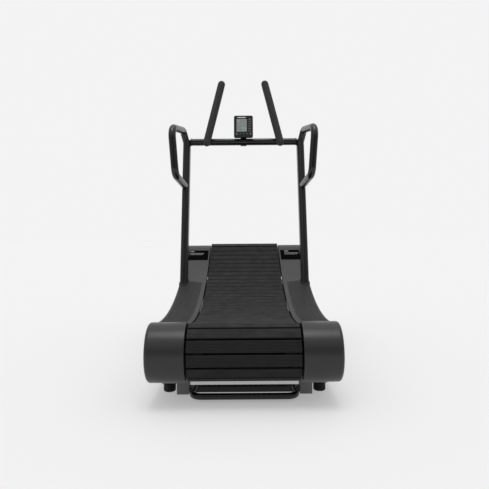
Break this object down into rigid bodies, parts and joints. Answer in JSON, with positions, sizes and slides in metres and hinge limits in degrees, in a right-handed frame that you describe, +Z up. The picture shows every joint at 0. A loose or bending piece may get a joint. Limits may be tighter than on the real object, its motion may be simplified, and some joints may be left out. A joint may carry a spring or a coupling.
{
  "type": "curved manual treadmill",
  "caption": "Motorless treadmill with a curved slat belt, side foot rails, leaning uprights, loop side handles, push grips and a tilting console.",
  "frame": {"origin": "middle of the overall box in plan, at floor level under the levelling feet", "axes": "+Z up, +Y along the belt towards the console end, +X to the user's right"},
  "size_m": [0.826, 1.6736, 1.6145],
  "materials": {
    "tread_rubber": "moulded matt black rubber with a fine ribbed grain",
    "machined_steel": "turned and ground",
    "pulley_aluminium": "turned",
    "block_iron": "black painted casting",
    "frame_paint": "black fine-texture powder coat",
    "bracket_paint": "grey powder coat",
    "housing_plastic": "moulded charcoal plastic with a fine grain",
    "foot_rail_plastic": "moulded charcoal plastic with wavy anti-slip ribs",
    "strip_aluminium": "dark anodised extrusion",
    "label_black": "plain black plate",
    "grip_rubber": "matt rubber sleeve",
    "console_plastic": "moulded black",
    "display_window": "clear window over a grey-green display",
    "key_rubber": "moulded grey",
    "bolt_steel": "black oxide",
    "wheel_rubber": "solid rubber tread",
    "foot_rubber": "ribbed black rubber"
  },
  "bodies": {
    "base": {"side_frame_left": "frame_paint", "side_frame_right": "frame_paint", "frame_crossmembers": "frame_paint", "rear_leg_brackets": "bracket_paint", "lift_handle": "frame_paint", "track_rail_left": "frame_paint", "track_rail_right": "frame_paint", "track_bearings": "machined_steel", "bearing_blocks": "block_iron", "one_way_bearing": "machined_steel", "rear_cover_left": "housing_plastic", "rear_cover_right": "housing_plastic", "foot_rail_left": "foot_rail_plastic", "foot_rail_right": "foot_rail_plastic", "edge_strips": "strip_aluminium", "side_skirt_left": "housing_plastic", "side_skirt_right": "housing_plastic", "front_cover_left": "housing_plastic", "front_cover_right": "housing_plastic", "label_plates": "label_black", "upright_left": "frame_paint", "upright_right": "frame_paint", "crossbar": "frame_paint", "loop_handle_left": "frame_paint", "loop_handle_right": "frame_paint", "push_post_left": "frame_paint", "push_post_right": "frame_paint", "push_grip_left": "grip_rubber", "push_grip_right": "grip_rubber", "console_bracket": "frame_paint", "assembly_bolts": "bolt_steel", "speed_sensor": "console_plastic"},
    "belt_top": {"belt_top_run": "tread_rubber"},
    "belt_return": {"belt_return_run": "tread_rubber"},
    "rear_roller": {"rear_axle": "machined_steel", "rear_pulleys": "pulley_aluminium", "belt_rear_wrap": "tread_rubber"},
    "front_roller": {"front_axle": "machined_steel", "front_pulleys": "pulley_aluminium", "belt_front_wrap": "tread_rubber"},
    "console": {"console_case": "console_plastic", "console_back": "console_plastic", "console_display": "display_window"},
    "key_program_1_body": {"key_program_1": "key_rubber"},
    "key_program_2_body": {"key_program_2": "key_rubber"},
    "key_program_3_body": {"key_program_3": "key_rubber"},
    "key_program_4_body": {"key_program_4": "key_rubber"},
    "key_program_5_body": {"key_program_5": "key_rubber"},
    "key_program_6_body": {"key_program_6": "key_rubber"},
    "key_stop_body": {"key_stop": "key_rubber"},
    "key_down_body": {"key_down": "key_rubber"},
    "key_enter_body": {"key_enter": "key_rubber"},
    "key_up_body": {"key_up": "key_rubber"},
    "key_start_body": {"key_start": "key_rubber"},
    "transport_wheel_left_body": {"transport_wheel_left": "wheel_rubber"},
    "rear_foot_left_body": {"rear_foot_left": "foot_rubber"},
    "front_foot_left_body": {"front_foot_left": "foot_rubber"},
    "transport_wheel_right_body": {"transport_wheel_right": "wheel_rubber"},
    "rear_foot_right_body": {"rear_foot_right": "foot_rubber"},
    "front_foot_right_body": {"front_foot_right": "foot_rubber"}
  },
  "joints": [
    {"name": "belt_run", "type": "hinge", "parent": "base", "child": "belt_top", "pos_m": [0, -0.38462, 1.97416], "axis": [1, 0, 0], "range_deg": [-0.4018, 0.4018]},
    {"name": "belt_return_run", "type": "hinge", "parent": "base", "child": "belt_return", "pos_m": [0, -0.38462, 1.97416], "axis": [1, 0, 0], "range_deg": [-0.362, 0.362]},
    {"name": "rear_roller_turn", "type": "hinge", "parent": "base", "child": "rear_roller", "pos_m": [0, -0.722, 0.1972], "axis": [1, 0, 0], "range_deg": [-7.1, 7.1]},
    {"name": "front_roller_turn", "type": "hinge", "parent": "base", "child": "front_roller", "pos_m": [0, 0.638, 0.4823], "axis": [1, 0, 0], "range_deg": [-7.1, 7.1]},
    {"name": "console_tilt", "type": "hinge", "parent": "base", "child": "console", "pos_m": [0, 0.412, 1.262], "axis": [1, 0, 0], "range_deg": [-20, 4]},
    {"name": "key_program_1_press", "type": "slide", "parent": "console", "child": "key_program_1_body", "axis": [0, 0.9781, -0.2079], "range_m": [0, 0.0006], "stiffness_N_per_m": 700, "springref_m": -0.0004},
    {"name": "key_program_2_press", "type": "slide", "parent": "console", "child": "key_program_2_body", "axis": [0, 0.9781, -0.2079], "range_m": [0, 0.0006], "stiffness_N_per_m": 700, "springref_m": -0.0004},
    {"name": "key_program_3_press", "type": "slide", "parent": "console", "child": "key_program_3_body", "axis": [0, 0.9781, -0.2079], "range_m": [0, 0.0006], "stiffness_N_per_m": 700, "springref_m": -0.0004},
    {"name": "key_program_4_press", "type": "slide", "parent": "console", "child": "key_program_4_body", "axis": [0, 0.9781, -0.2079], "range_m": [0, 0.0006], "stiffness_N_per_m": 700, "springref_m": -0.0004},
    {"name": "key_program_5_press", "type": "slide", "parent": "console", "child": "key_program_5_body", "axis": [0, 0.9781, -0.2079], "range_m": [0, 0.0006], "stiffness_N_per_m": 700, "springref_m": -0.0004},
    {"name": "key_program_6_press", "type": "slide", "parent": "console", "child": "key_program_6_body", "axis": [0, 0.9781, -0.2079], "range_m": [0, 0.0006], "stiffness_N_per_m": 700, "springref_m": -0.0004},
    {"name": "key_stop_press", "type": "slide", "parent": "console", "child": "key_stop_body", "axis": [0, 0.9781, -0.2079], "range_m": [0, 0.0006], "stiffness_N_per_m": 700, "springref_m": -0.0004},
    {"name": "key_down_press", "type": "slide", "parent": "console", "child": "key_down_body", "axis": [0, 0.9781, -0.2079], "range_m": [0, 0.0006], "stiffness_N_per_m": 700, "springref_m": -0.0004},
    {"name": "key_enter_press", "type": "slide", "parent": "console", "child": "key_enter_body", "axis": [0, 0.9781, -0.2079], "range_m": [0, 0.0006], "stiffness_N_per_m": 700, "springref_m": -0.0004},
    {"name": "key_up_press", "type": "slide", "parent": "console", "child": "key_up_body", "axis": [0, 0.9781, -0.2079], "range_m": [0, 0.0006], "stiffness_N_per_m": 700, "springref_m": -0.0004},
    {"name": "key_start_press", "type": "slide", "parent": "console", "child": "key_start_body", "axis": [0, 0.9781, -0.2079], "range_m": [0, 0.0006], "stiffness_N_per_m": 700, "springref_m": -0.0004},
    {"name": "transport_wheel_left_roll", "type": "hinge", "parent": "base", "child": "transport_wheel_left_body", "pos_m": [-0.271, 0.7948, 0.05], "axis": [1, 0, 0], "continuous": true},
    {"name": "rear_foot_left_level", "type": "slide", "parent": "base", "child": "rear_foot_left_body", "axis": [0, 0, -1], "range_m": [0, 0.015]},
    {"name": "front_foot_left_level", "type": "slide", "parent": "base", "child": "front_foot_left_body", "axis": [0, 0, -1], "range_m": [0, 0.015]},
    {"name": "transport_wheel_right_roll", "type": "hinge", "parent": "base", "child": "transport_wheel_right_body", "pos_m": [0.271, 0.7948, 0.05], "axis": [1, 0, 0], "continuous": true},
    {"name": "rear_foot_right_level", "type": "slide", "parent": "base", "child": "rear_foot_right_body", "axis": [0, 0, -1], "range_m": [0, 0.015]},
    {"name": "front_foot_right_level", "type": "slide", "parent": "base", "child": "front_foot_right_body", "axis": [0, 0, -1], "range_m": [0, 0.015]}
  ],
  "couplings": [
    {"joint": "belt_return_run", "follows": "belt_run", "ratio": -0.8975},
    {"joint": "rear_roller_turn", "follows": "belt_run", "ratio": -17.513},
    {"joint": "front_roller_turn", "follows": "belt_run", "ratio": -17.513}
  ]
}
